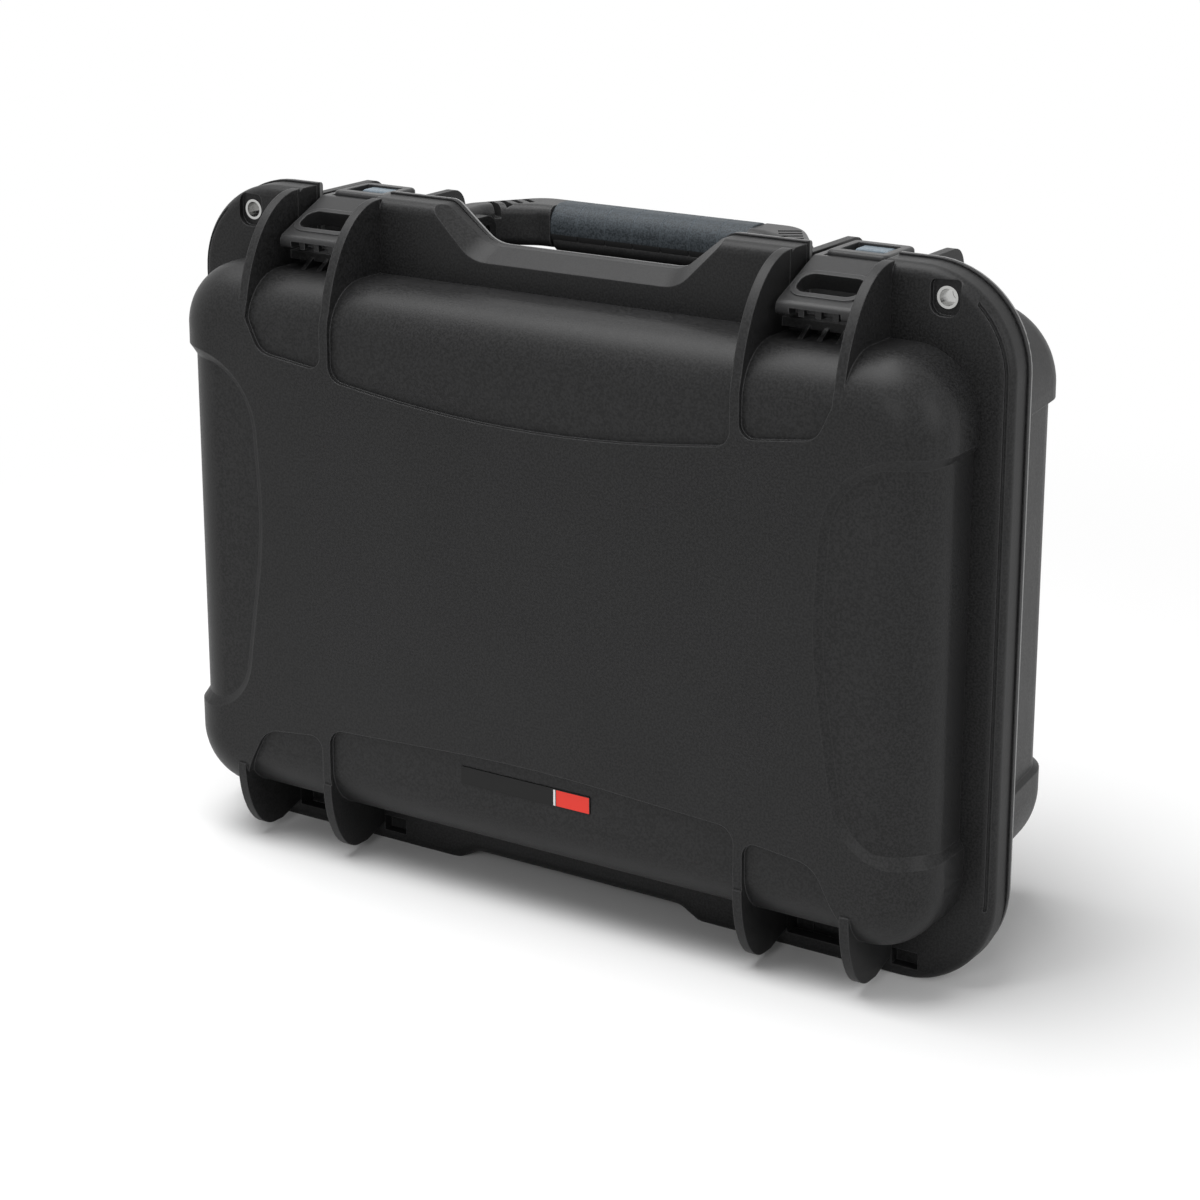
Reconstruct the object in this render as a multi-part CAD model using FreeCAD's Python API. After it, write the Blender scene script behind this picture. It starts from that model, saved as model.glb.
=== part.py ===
import FreeCAD, Part
import math
import os

Vec = FreeCAD.Vector

# The case stands on its hinge edge: X across, Y from the lid face to the back, Z up from the ground.
case_width = 475.0
lid_depth = 62.0
base_depth = 110.0
skid = 6.0
wall = 3.6
parting_gap = 0.4
overrun = 2.0

# Rims that meet at the parting plane
rim_top = 352.0
rim_bottom = 0.0
rim_corner = 50.0
lid_rim = 16.0
base_rim = 5.0
lid_rim_inset = 1.0
lid_rim_round = 6.0
lid_sole_drop = 3.0
base_rim_round = 2.0
underside_rise = 10.5
rim_groove_width = 1.5
rim_groove_depth = 1.7
rim_groove_inset = 2.4
rim_groove_start = 43.0
rim_groove_foot = 44.0

# Hand scallop in the top of the rims and shallow heel notch in the bottom
scallop_side = 23.0
scallop_slope = 24.0
scallop_depth = 20.0
scallop_round = 20.0
scallop_lip_round = 9.0
scallop_flare = 8.0
scallop_dish_depth = 11.0
heel_notch_side = 6.0
heel_notch_slope = 12.0
heel_notch_depth = 4.0
heel_notch_round = 12.0

# Moulded bodies behind the rims
rim_side = 16.0
body_drop = 36.5
body_rise = 26.5
lid_corner = 34.0
base_corner = 40.0
lid_edge_round = 26.0
base_edge_round = 28.0
base_taper = 12.0
recess_depth = 2.6
ramp_width = 4.0
ramp_overshoot_share = 1.5

# Waisted recess in each side, measured in from the body's sides, top and bottom
bow_top_drop = 50.0
bow_foot_rise = 54.0
bow_top_inset = 48.5
bow_waist_inset = 54.0
bow_foot_inset = 38.5
bow_top_round_share = 0.13
bow_waist_round_share = 0.82
bow_foot_round = 26.0
bow_waist_share = 0.525

# Panels sunk between the ribs, measured from the body's top and bottom
top_panel_drop = 50.0
top_panel_sag_share = 0.127
top_panel_curve_share = 5.75
bottom_panel_rise = 51.0
bottom_panel_crown_share = 0.05
bottom_panel_curve_share = 7.4
panel_corner = 9.0
latch_panel_drops = (46.0, 41.0, 24.0)
latch_panel_turn = 8.0
latch_panel_rounds = (7.0, 12.0)
hinge_panel_rises = (46.0, 42.0, 14.0)
hinge_panel_turn = 38.0
hinge_panel_rounds = (7.0, 16.0)

# Pairs of ribs that flank the latches and the hinges
bay_inset = 91.5
bay_width = 48.0
foot_bay_inset = 84.0
foot_bay_width = 53.0
rib = 5.0
rib_top_reach = 74.0
foot_height = 46.0
lid_foot_reach = 23.0
lid_foot_flat = 7.0
lid_foot_rise = 10.0
lid_foot_floor = 5.0
base_foot_reach = 40.0
base_foot_height = 66.0
base_foot_start = 24.0
base_foot_rise = 12.0
skid_drop = 79.5
skid_round = 12.0
fin_drop = 6.0
fin_round = 10.0
fin_top_length = 51.0
fin_fall = 12.0

# Catch on the lid under each latch
catch_rise = 5.0
catch_lip = 7.0
catch_lip_height = 4.5
gusset = 2.5
gusset_reach = 18.0
gusset_pitch = 10.0
gusset_drop = 14.0

# Hinges on the ground edge
hinge_height = 9.0
barrel_radius = 5.5
barrel_gap = 0.6
hinge_pin_radius = 2.5
hinge_pin_inset = 1.0
running_clearance = 0.05
knuckle_width = 33.0
knuckle_side_gap = 0.5
knuckle_head = 8.0
window_sill = 7.5
window_head = 20.0
sill_thickness = 7.0
pocket_width = 14.0
pocket_height = 8.5
pocket_rise = 4.5
pocket_depth = 6.0

# Padlock eyelets
eyelet_inset = 35.5
eyelet_drop = 15.0
eyelet_outer = 4.7
eyelet_bore = 4.0
eyelet_lip = 0.6
eyelet_recess_width = 15.0
eyelet_recess_height = 17.0
eyelet_recess_depth = 3.0
eyelet_recess_corner = 3.0
eyelet_clearance = 0.05

# Seal between the rims
seal_inset = 1.0
seal_width = 4.0
seal_thickness = 3.0
seal_sink = 1.3
seal_clearance = 0.1
tongue_height = 1.0
tongue_side_gap = 0.8

# Latches
latch_side_gap = 3.5
latch_pivot_depth = 45.0
latch_pivot_drop = 16.5
latch_pin_radius = 2.5
latch_pin_inset = 1.0
latch_reach = 80.0
latch_nose_drop = 28.0
latch_height = 22.0
latch_barrel = 7.0
latch_round = 14.0
latch_top_shares = ((1.0, 0.02, 0.1), (1.025, 0.25, 0.3), (0.56, 1.0, 0.4),
                    (0.18, 1.0, 0.5), (0.0, 0.84, 0.0))
latch_under_shares = ((0.0, 0.30, 0.0), (0.12, 0.38, 0.1), (0.55, 0.42, 0.3),
                      (0.74, 0.38, 0.3), (0.86, 0.04, 0.1))
latch_window_width = 33.0
latch_window_length = 15.0
latch_window_round = 6.0
latch_window_share = 0.44
latch_window_rim = 3.0
latch_window_lip = 0.8
latch_notch_width = 27.0
latch_notch_height = 3.5
latch_notch_depth = 6.0
latch_tooth = 3.0
latch_tooth_drop = 1.0
latch_tooth_pitch = 9.0

# Slide lock carried in each latch
lock_width = 33.0
lock_length = 31.0
lock_front_reach = 42.0
lock_travel = 5.0
lock_clearance = 0.35
lock_thickness = 6.5
lock_stand = 2.5
lock_round = 2.0
lock_corner = 4.0
lock_bar = 6.0
lock_side_bar = 5.0
lock_floor = 1.5
button_width = 17.0
button_length = 9.0
button_height = 4.0
button_round = 1.5

# Handle folded back on the base
handle_pivot_depth = 27.0
handle_pivot_rise = 16.0
handle_pin_radius = 3.0
handle_pin_inset = 1.5
handle_bay_gap = 18.0
handle_reach = 38.0
handle_thickness = 22.0
handle_round = 5.0
arm_thickness = 16.0
arm_nose = 8.0
arm_nose_round = 6.0
arm_bend = 14.0
arm_bend_round = 16.0
arm_shoulder = 20.0
arm_shoulder_round = 20.0
arm_throat = 8.0
arm_throat_round = 12.0
arm_crook = 14.0
arm_slots = 4
arm_slot_width = 3.5
arm_slot_length = 12.0
arm_slot_depth = 7.0
arm_slot_pitch = 6.5
arm_slot_start = 16.0
arm_slot_turn = 32.0
grip_end_gap = 45.5
grip_depth = 26.0
grip_height = 24.0
grip_round = 10.5
grip_core_radius = 8.0
grip_core_clearance = 0.05
grip_bands = 7
grip_band_round = 0.8
ear = 7.0
ear_gap = 0.6
ear_radius = 8.0

# Pressure valve under the handle
valve_depth = 34.0
valve_stem_radius = 6.0
valve_stem = 12.0
valve_flange_radius = 10.0
valve_flange = 2.0
valve_washer_radius = 9.0
valve_washer = 1.0
valve_cap_radius = 8.5
valve_cap = 2.0
valve_cap_slots = 6
valve_cap_slot = 1.6
valve_bore_radius = 2.5
valve_nut_across = 18.0
valve_nut = 4.0
valve_membrane_radius = 4.5
valve_membrane = 0.5
valve_clearance = 0.1

# Bare plate low on the lid face
plate_width = 78.0
plate_height = 9.4
plate_rise = 38.5
plate_thickness = 1.2
plate_sink = 0.7
plate_corner = 0.8
plate_clearance = 0.1
inlay_thickness = 0.3
inlay_margin = 0.5
inlay_clearance = 0.05
line_width = 1.2
field_width = 19.5

# Places worked out from the sizes above
parting_y = (lid_depth - base_depth - skid) / 2
lid_face_y = parting_y - lid_depth
back_y = parting_y + base_depth
lid_rim_y = parting_y - lid_rim
base_rim_y = parting_y + base_rim
rim_half = case_width / 2
body_half = rim_half - rim_side
body_top = rim_top - body_drop
body_bottom = rim_bottom + body_rise
bay_centre = rim_half - bay_inset
bay_inner = bay_centre - bay_width / 2
bay_outer = bay_centre + bay_width / 2
foot_bay_centre = rim_half - foot_bay_inset
foot_inner = foot_bay_centre - foot_bay_width / 2
foot_outer = foot_bay_centre + foot_bay_width / 2
core_half = body_half - recess_depth
core_top = body_top - recess_depth
core_bottom = body_bottom + recess_depth
cavity_half = core_half - wall
cavity_top = core_top - wall
cavity_bottom = core_bottom + wall
mouth_corner = lid_corner - recess_depth - wall
fin_height = rim_top - fin_drop
catch_top = body_top + catch_rise
skid_top = body_top - skid_drop
latch_pivot_height = rim_top - latch_pivot_drop
latch_nose_height = rim_top - latch_nose_drop
handle_pivot_height = body_top + handle_pivot_rise
handle_width = 2 * (bay_inner - handle_bay_gap)
grip_length = handle_width - 2 * grip_end_gap
scallop_mouth = handle_width - 2 * scallop_side
scallop_floor = scallop_mouth - 2 * scallop_slope
heel_notch_mouth = scallop_mouth - 2 * heel_notch_side
heel_notch_floor = heel_notch_mouth - 2 * heel_notch_slope
latch_pivot_y = parting_y + latch_pivot_depth
handle_pivot_y = parting_y + handle_pivot_depth
valve_y = parting_y + valve_depth


def corner_edges(points, place):
    """Edges of a closed outline whose corners (a, b, radius) are rounded by tangent arcs."""
    count = len(points)
    arcs = []
    for i in range(count):
        a, b, radius = points[i]
        corner = Vec(a, b, 0)
        before = Vec(points[i - 1][0], points[i - 1][1], 0) - corner
        after = Vec(points[(i + 1) % count][0], points[(i + 1) % count][1], 0) - corner
        before.normalize()
        after.normalize()
        if radius == 0:
            arcs.append((corner, None, corner))
            continue
        half = before.getAngle(after) / 2
        reach = radius / math.tan(half)
        middle = before + after
        middle.normalize()
        arcs.append((corner + before * reach,
                     corner + middle * (radius / math.sin(half) - radius),
                     corner + after * reach))
    spot = [[place(p.x, p.y) if p else None for p in arc] for arc in arcs]
    edges = []
    for i in range(count):
        start, middle, end = spot[i]
        if middle:
            edges.append(Part.Arc(start, middle, end).toShape())
        follow = spot[(i + 1) % count][0]
        if end.distanceToPoint(follow) > Part.Precision.confusion():
            edges.append(Part.LineSegment(end, follow).toShape())
    return edges


def across(points, near, far):
    """Solid of an X-Z outline drawn along Y."""
    edges = corner_edges(points, lambda a, b: Vec(a, near, b))
    return Part.Face(Part.Wire(edges)).extrude(Vec(0, far - near, 0))


def lengthwise(points, left, right):
    """Solid of a Y-Z outline drawn along X."""
    edges = corner_edges(points, lambda a, b: Vec(left, a, b))
    return Part.Face(Part.Wire(edges)).extrude(Vec(right - left, 0, 0))


def upright(points, low, high):
    """Solid of an X-Y outline drawn along Z."""
    edges = corner_edges(points, lambda a, b: Vec(a, b, low))
    return Part.Face(Part.Wire(edges)).extrude(Vec(0, 0, high - low))


def block(x0, x1, y0, y1, z0, z1):
    """Box between two corners given in any order."""
    low = Vec(min(x0, x1), min(y0, y1), min(z0, z1))
    return Part.makeBox(abs(x1 - x0), abs(y1 - y0), abs(z1 - z0), low)


def rod(x0, x1, y, z, radius):
    """Cylinder along X."""
    return Part.makeCylinder(radius, abs(x1 - x0), Vec(min(x0, x1), y, z), Vec(1, 0, 0))


def peg(x, y0, y1, z, radius):
    """Cylinder along Y."""
    return Part.makeCylinder(radius, abs(y1 - y0), Vec(x, min(y0, y1), z), Vec(0, 1, 0))


def post(x, y, z0, z1, radius):
    """Cylinder along Z."""
    return Part.makeCylinder(radius, z1 - z0, Vec(x, y, z0), Vec(0, 0, 1))


def ring_rectangle(half, low, high, radius):
    return [(-half, low, radius), (half, low, radius), (half, high, radius), (-half, high, radius)]


def edges_at_y(shape, y):
    """Edges of a shape that lie whole in the plane at y."""
    close = Part.Precision.confusion() * 100
    return [e for e in shape.Edges if abs(e.BoundBox.YMin - y) < close and abs(e.BoundBox.YMax - y) < close]


def tub(half, low, high, corner, far, edge_round, taper):
    """Rounded box from the parting plane out to far, narrower there by the taper, its far edges rounded."""
    wires = []
    for y, inset in ((parting_y, 0), (far, taper)):
        points = ring_rectangle(half - inset, low, high, corner)
        wires.append(Part.Wire(corner_edges(points, lambda a, b: Vec(a, y, b))))
    solid = Part.makeLoft(wires, True, True)
    return solid.makeFillet(edge_round, edges_at_y(solid, far))


def raised_outline():
    """Outline of the skin that stands proud between the sunk panels and side recesses."""
    inner = bay_inner - rib
    outside = rim_half + overrun
    tall = body_top - body_bottom
    waist = body_bottom + bow_waist_share * tall
    foot = body_bottom + bow_foot_rise
    head = body_top - bow_top_drop
    right = [
        (foot_inner - rib, body_bottom + bottom_panel_rise, panel_corner),
        (foot_inner - rib, body_bottom, 0),
        (foot_inner, body_bottom, 0),
        (foot_inner, body_bottom + hinge_panel_rises[0], hinge_panel_rounds[0]),
        (foot_inner + hinge_panel_turn, body_bottom + hinge_panel_rises[1], hinge_panel_rounds[1]),
        (foot_outer, body_bottom + hinge_panel_rises[2], 0),
        (foot_outer, rim_bottom - overrun, 0),
        (outside, rim_bottom - overrun, 0),
        (outside, foot, 0),
        (body_half - bow_foot_inset, foot, bow_foot_round),
        (body_half - bow_waist_inset, waist, bow_waist_round_share * tall),
        (body_half - bow_top_inset, head, bow_top_round_share * tall),
        (outside, head, 0),
        (outside, rim_top + overrun, 0),
        (bay_outer, rim_top + overrun, 0),
        (bay_outer, body_top - latch_panel_drops[2], 0),
        (bay_outer - latch_panel_turn, body_top - latch_panel_drops[1], latch_panel_rounds[1]),
        (bay_inner, body_top - latch_panel_drops[0], latch_panel_rounds[0]),
        (bay_inner, body_top, 0),
        (inner, body_top, 0),
        (inner, body_top - top_panel_drop, panel_corner),
    ]
    left = [(-x, z, radius) for x, z, radius in reversed(right)]
    crown = body_bottom + bottom_panel_rise + bottom_panel_crown_share * bay_inner
    sag = body_top - top_panel_drop - top_panel_sag_share * bay_inner
    bottom_middle = [(0, crown, bottom_panel_curve_share * bay_inner)]
    top_middle = [(0, sag, top_panel_curve_share * bay_inner)]
    return bottom_middle + right + top_middle + left


def moulded_body(far, corner, edge_round, taper):
    """Body at the sunk level with the proud skin on it; far is the outer face's place."""
    out = math.copysign(recess_depth, far - parting_y)
    core = tub(core_half, core_bottom, core_top, corner - recess_depth, far - out, edge_round, taper)
    proud = tub(body_half, body_bottom, body_top, corner, far, edge_round, taper)
    skin = proud.common(across(raised_outline(), parting_y, far))
    waist = body_bottom + bow_waist_share * (body_top - body_bottom)
    spots = [Part.Vertex(side * (body_half - bow_waist_inset), far, waist) for side in (-1, 1)]
    brinks = [min(skin.Edges, key=lambda edge: edge.distToShape(spot)[0]) for spot in spots]
    skin = skin.makeChamfer(ramp_width * ramp_overshoot_share, recess_depth * ramp_overshoot_share, brinks)
    return core.fuse(skin)


def rim_outline(inset, drop=0):
    """Outline of a rim, set in all round and let down at the bottom by a drop."""
    half = rim_half - inset
    top = rim_top - inset
    bottom = rim_bottom + inset - drop
    radius = rim_corner - inset
    right = [
        (heel_notch_floor / 2, bottom + drop + heel_notch_depth, heel_notch_round),
        (heel_notch_mouth / 2, bottom, heel_notch_round),
        (half, bottom, radius),
        (half, top, radius),
        (scallop_mouth / 2, top, scallop_lip_round),
        (scallop_floor / 2, rim_top - scallop_depth, scallop_round),
    ]
    left = [(-x, z, r) for x, z, r in reversed(right)]
    return right + left


def rim(near, far, inset, edge_round, heel, drop):
    """Rim slab with its outer edge rounded; its underside runs from the heel up to the parting plane."""
    slab = across(rim_outline(inset, drop), near, far)
    slab = slab.makeFillet(edge_round, edges_at_y(slab, far))
    low = rim_bottom - overrun - drop
    slope = [(near, low, 0), (near, rim_bottom + underside_rise, 0), (far, heel, 0), (far, low, 0)]
    ground = block(-rim_half, rim_half, near, far, low, rim_bottom)
    return slab.cut([lengthwise(slope, -rim_half, rim_half), ground])


def ribs(profile, inner, outer):
    """Four ribs of one Y-Z profile, one each side of two bays."""
    solids = []
    for left in (inner - rib, outer, -inner, -outer - rib):
        solid = profile.copy()
        solid.translate(Vec(left, 0, 0))
        solids.append(solid.extrude(Vec(rib, 0, 0)))
    return solids


def curved_face(start, end, centre, rest):
    """Y-Z face bounded by a quarter ellipse from start to end and straight runs through rest."""
    places = [Vec(0, y, z) for y, z in (start, end, centre)]
    tall = abs(start[1] - centre[1]) + abs(end[1] - centre[1])
    wide = abs(start[0] - centre[0]) + abs(end[0] - centre[0])
    first, second = places[0], places[1]
    if tall > wide:
        first, second = places[1], places[0]
    curve = Part.ArcOfEllipse(Part.Ellipse(first, second, places[2]), 0, math.pi / 2)
    run = Part.makePolygon([places[1]] + [Vec(0, y, z) for y, z in rest] + [places[0]])
    return Part.Face(Part.Wire(Part.__sortEdges__([curve.toShape()] + run.Edges)))


def lid_ribs():
    """Ribs that sweep from the lid face up to the rim's top, and feet under the lid."""
    spring = rim_top - rib_top_reach
    inside = lid_rim_y + overrun
    deep = lid_face_y + wall
    top = curved_face((lid_face_y, spring), (lid_rim_y, rim_top - lid_rim_inset), (lid_rim_y, spring),
                      [(inside, rim_top - lid_rim_inset), (inside, spring), (deep, spring)])
    toe = lid_face_y + lid_foot_reach
    heel = toe + lid_foot_flat
    foot = curved_face((lid_face_y, foot_height), (toe, lid_foot_floor), (toe, foot_height),
                       [(heel, lid_foot_floor), (lid_rim_y, lid_foot_rise), (inside, lid_foot_rise + overrun),
                        (inside, foot_height), (deep, foot_height)])
    return ribs(top, bay_inner, bay_outer) + ribs(foot, foot_inner, foot_outer)


def base_ribs():
    """Fins that carry the latch pins on top of the base, feet under it and skids up its back."""
    outside = back_y + skid
    toe = outside - base_foot_reach
    start = base_rim_y + base_foot_start
    deep = back_y - base_edge_round
    foot = curved_face((outside, base_foot_height), (toe, 0), (toe, base_foot_height),
                       [(start, 0), (base_rim_y, base_foot_rise), (base_rim_y - overrun, base_foot_height),
                        (deep, base_foot_height)])
    crest = base_rim_y + fin_top_length
    fin = [(base_rim_y - overrun, cavity_top, 0), (crest + fin_fall, cavity_top, 0),
           (crest, fin_height, fin_round), (base_rim_y - overrun, fin_height, 0)]
    rail = [(deep, base_foot_height, 0), (outside, base_foot_height, 0), (outside, skid_top, skid_round),
            (deep, skid_top + outside - deep, 0)]
    solids = ribs(foot, foot_inner, foot_outer)
    for points, inner, outer in ((fin, bay_inner, bay_outer), (rail, foot_inner, foot_outer)):
        for left in (inner - rib, outer, -inner, -outer - rib):
            solids.append(lengthwise(points, left, left + rib))
    return solids


def bays(inner, outer, low, high, near, far):
    """Boxes that span a pair of bays."""
    return [block(side * inner, side * outer, near, far, low, high) for side in (-1, 1)]


def catches():
    """Lip and gussets on the lid that each latch closes over."""
    lip_low = catch_top - catch_lip_height
    solids = bays(bay_inner, bay_outer, lip_low, catch_top, lid_rim_y - catch_lip, lid_rim_y + overrun)
    outline = [(lid_rim_y - gusset_reach, core_top - overrun, 0), (lid_rim_y, core_top - gusset_drop, 0),
               (lid_rim_y + overrun, lip_low + overrun, 0), (lid_rim_y - catch_lip, lip_low + overrun, 0)]
    for side in (-1, 1):
        for place in (-1, 0, 1):
            middle = side * bay_centre + place * gusset_pitch
            solids.append(lengthwise(outline, middle - gusset / 2, middle + gusset / 2))
    return solids


def side_grooves():
    """Shallow grooves in the front of the lid rim, round its upper corners and down its sides."""
    near = lid_rim_y - overrun
    far = lid_rim_y + rim_groove_depth
    inset = lid_rim_inset + rim_groove_inset
    ring = across(rim_outline(inset), near, far)
    ring = ring.cut(across(rim_outline(inset + rim_groove_width), near, far))
    start = bay_outer + rib + rim_groove_start
    foot = rim_bottom + rim_groove_foot
    return [ring.common(block(side * start, side * (rim_half + overrun), near, far, foot, rim_top))
            for side in (-1, 1)]


def scallop_dish():
    """Slope round the hand scallop that widens towards the front of the lid rim."""
    wires = []
    for y, out in ((lid_rim_y + scallop_dish_depth, 0), (lid_rim_y - overrun, scallop_flare)):
        floor = rim_top - scallop_depth - out
        bottom = scallop_floor / 2 + out / 2
        mouth = scallop_mouth / 2 + out
        points = [(bottom, floor, scallop_round), (mouth, rim_top, 0), (mouth, rim_top + overrun, 0),
                  (-mouth, rim_top + overrun, 0), (-mouth, rim_top, 0), (-bottom, floor, scallop_round)]
        wires.append(Part.Wire(corner_edges(points, lambda a, b: Vec(a, y, b))))
    return Part.makeLoft(wires, True, True)


def hinge_spans():
    """X ranges of one hinge: lid lug, base knuckle, lid lug, from the middle of the case outwards."""
    left = foot_bay_centre - knuckle_width / 2
    right = foot_bay_centre + knuckle_width / 2
    return [(foot_inner - rib, left - knuckle_side_gap), (left, right),
            (right + knuckle_side_gap, foot_outer + rib)]


def hinge_reach():
    """X range of one whole hinge."""
    return [(foot_inner - rib, foot_outer + rib)]


def lid_hinge_cuts():
    """Windows in the lid rim that show the hinges, with a sill below, and pockets beside the feet."""
    solids = bays(foot_inner, foot_outer, window_sill, window_head, lid_rim_y - overrun, parting_y)
    solids += bays(foot_inner, foot_outer, rim_bottom - overrun, window_sill,
                   lid_rim_y + sill_thickness, parting_y)
    for side in (-1, 1):
        for start, out in ((foot_outer + rib, 1), (foot_inner - rib, -1)):
            solids.append(block(side * start, side * (start + out * pocket_width), lid_rim_y - overrun,
                                lid_rim_y + pocket_depth, rim_bottom + lid_rim_inset + pocket_rise,
                                rim_bottom + lid_rim_inset + pocket_rise + pocket_height))
    return solids


def lid_lugs():
    """Lugs on the lid that hold the hinge pins."""
    solids = []
    for side in (-1, 1):
        for start, end in (hinge_spans()[0], hinge_spans()[2]):
            solids.append(rod(side * start, side * end, parting_y, hinge_height, barrel_radius))
            solids.append(block(side * start, side * end, parting_y - barrel_radius,
                                parting_y - parting_gap / 2, hinge_height, window_head + overrun))
    return solids


def base_knuckles():
    """Knuckles on the base between the lid's lugs."""
    solids = []
    start, end = hinge_spans()[1]
    for side in (-1, 1):
        solids.append(rod(side * start, side * end, parting_y, hinge_height, barrel_radius))
        solids.append(block(side * start, side * end, parting_y - barrel_radius, base_rim_y,
                            hinge_height, hinge_height + knuckle_head))
    return solids


def hinge_clearances(spans, radius):
    return [rod(side * start, side * end, parting_y, hinge_height, radius)
            for side in (-1, 1) for start, end in spans]


def eyelet_places():
    return [(side * (rim_half - eyelet_inset), rim_top - eyelet_drop) for side in (-1, 1)]


def eyelet_recesses():
    """Sunk seats round the eyelets on the lid, flat above and round below."""
    solids = []
    half = eyelet_recess_width / 2
    for x, z in eyelet_places():
        low = z - eyelet_recess_height / 2
        high = z + eyelet_recess_height / 2
        base_round = half - eyelet_recess_corner / 2
        points = [(x - half, low, base_round), (x + half, low, base_round),
                  (x + half, high, eyelet_recess_corner), (x - half, high, eyelet_recess_corner)]
        solids.append(across(points, lid_rim_y - overrun, lid_rim_y + eyelet_recess_depth))
    return solids


def eyelet_bores():
    radius = eyelet_outer + eyelet_clearance
    return [peg(x, lid_rim_y, base_rim_y + overrun, z, radius) for x, z in eyelet_places()]


def eyelet(x, z, near, far, lip):
    """Steel sleeve with a turned-over lip at its outer end."""
    tube = peg(x, near, far, z, eyelet_outer)
    head = peg(x, near if lip < 0 else far - eyelet_lip, near + eyelet_lip if lip < 0 else far,
               z, eyelet_outer + eyelet_lip)
    bore = peg(x, near - overrun, far + overrun, z, eyelet_bore)
    return tube.fuse(head).cut(bore).removeSplitter()


def cavity(far, corner, edge_round, taper):
    out = math.copysign(recess_depth + wall, far - parting_y)
    inner_corner = corner - recess_depth - wall
    return tub(cavity_half, cavity_bottom, cavity_top, inner_corner, far - out, edge_round - wall, taper)


def seal_ring(inner_gap, outer_gap, near, far):
    """Ring that follows the cavity's mouth, between two gaps measured outwards from it."""
    solids = []
    for gap in (outer_gap, inner_gap):
        points = ring_rectangle(cavity_half + gap, cavity_bottom - gap, cavity_top + gap, mouth_corner + gap)
        solids.append(across(points, near, far))
    return solids[0].cut(solids[1])


def plate_points(inset):
    """Outline of the bare plate on the lid face."""
    low = body_bottom + plate_rise
    corner = max(plate_corner - inset, plate_corner / 2)
    half = plate_width / 2 - inset
    return ring_rectangle(half, low + inset, low + plate_height - inset, corner)


def lid_shell():
    solid = moulded_body(lid_face_y, lid_corner, lid_edge_round, 0)
    heel = rim_bottom + lid_rim_inset - lid_sole_drop
    slab = rim(parting_y, lid_rim_y, lid_rim_inset, lid_rim_round, heel, lid_sole_drop)
    solid = solid.fuse([slab] + lid_ribs())
    cuts = bays(bay_inner, bay_outer, catch_top, rim_top + overrun, lid_face_y - overrun, parting_y + overrun)
    cuts += lid_hinge_cuts() + side_grooves() + [scallop_dish()] + eyelet_recesses() + eyelet_bores()
    solid = solid.cut(cuts)
    solid = solid.fuse(catches())
    cuts = [cavity(lid_face_y, lid_corner, lid_edge_round, 0)]
    cuts += hinge_clearances(hinge_spans()[1:2], barrel_radius + barrel_gap)
    solid = solid.cut(cuts)
    solid = solid.fuse(lid_lugs())
    seal_out = seal_inset + seal_width
    cuts = [seal_ring(seal_inset, seal_out, parting_y - seal_sink - seal_thickness, parting_y + overrun)]
    cuts += hinge_clearances(hinge_reach(), hinge_pin_radius)
    sunk_face = lid_face_y + recess_depth
    cuts.append(across(plate_points(-plate_clearance), sunk_face - overrun, sunk_face + plate_sink))
    half = rim_half
    cuts.append(block(-half, half, parting_y - parting_gap / 2, parting_y + overrun, window_head, rim_top))
    return solid.cut(cuts).removeSplitter()


def handle_spans():
    """X ranges of the right-hand end of the handle: inner ear, arm, outer ear."""
    outer = handle_width / 2
    inner = outer - arm_thickness
    return [(inner - ear_gap - ear, inner - ear_gap), (inner, outer),
            (outer + ear_gap, outer + ear_gap + ear)]


def handle_ears():
    solids = []
    for side in (-1, 1):
        for start, end in (handle_spans()[0], handle_spans()[2]):
            solids.append(rod(side * start, side * end, handle_pivot_y, handle_pivot_height, ear_radius))
            solids.append(block(side * start, side * end, base_rim_y - overrun, handle_pivot_y + ear_radius,
                                cavity_top, handle_pivot_height))
            solids.append(block(side * start, side * end, base_rim_y - overrun, handle_pivot_y,
                                handle_pivot_height - overrun, handle_pivot_height + ear_radius))
    return solids


def pin_bores(spans, y, z, radius):
    return [rod(side * start, side * end, y, z, radius) for side in (-1, 1) for start, end in spans]


def base_shell():
    solid = moulded_body(back_y, base_corner, base_edge_round, base_taper)
    slab = rim(parting_y, base_rim_y, 0, base_rim_round, rim_bottom + underside_rise, 0)
    solid = solid.fuse([slab] + base_ribs() + handle_ears())
    cuts = bays(bay_inner, bay_outer, catch_top, rim_top + overrun, parting_y - overrun, base_rim_y + overrun)
    cuts += [cavity(back_y, base_corner, base_edge_round, base_taper)] + eyelet_bores()
    cuts += hinge_clearances(hinge_reach(), barrel_radius + barrel_gap)
    half = rim_half + overrun
    cuts.append(block(-half, half, parting_y - overrun, parting_y + parting_gap / 2, 0, rim_top + overrun))
    solid = solid.cut(cuts)
    tongue_in = seal_inset + tongue_side_gap
    tongue_out = seal_inset + seal_width - tongue_side_gap
    tongue = seal_ring(tongue_in, tongue_out, parting_y - tongue_height, parting_y + parting_gap)
    solid = solid.fuse(base_knuckles() + [tongue])
    cuts = hinge_clearances(hinge_spans()[1:2], hinge_pin_radius + running_clearance)
    fin_span = [(bay_inner - rib, bay_outer + rib)]
    cuts += pin_bores(fin_span, latch_pivot_y, latch_pivot_height, latch_pin_radius)
    ear_span = [(handle_spans()[0][0], handle_spans()[2][1])]
    cuts += pin_bores(ear_span, handle_pivot_y, handle_pivot_height, handle_pin_radius)
    cuts.append(post(0, valve_y, cavity_top - overrun, core_top + overrun,
                     valve_stem_radius + valve_clearance))
    return solid.cut(cuts).removeSplitter()


def latch_place(a, b):
    """Y and Z of a point given as shares of the latch's reach and height."""
    return latch_pivot_y - a * latch_reach, latch_nose_height + b * latch_height


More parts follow.
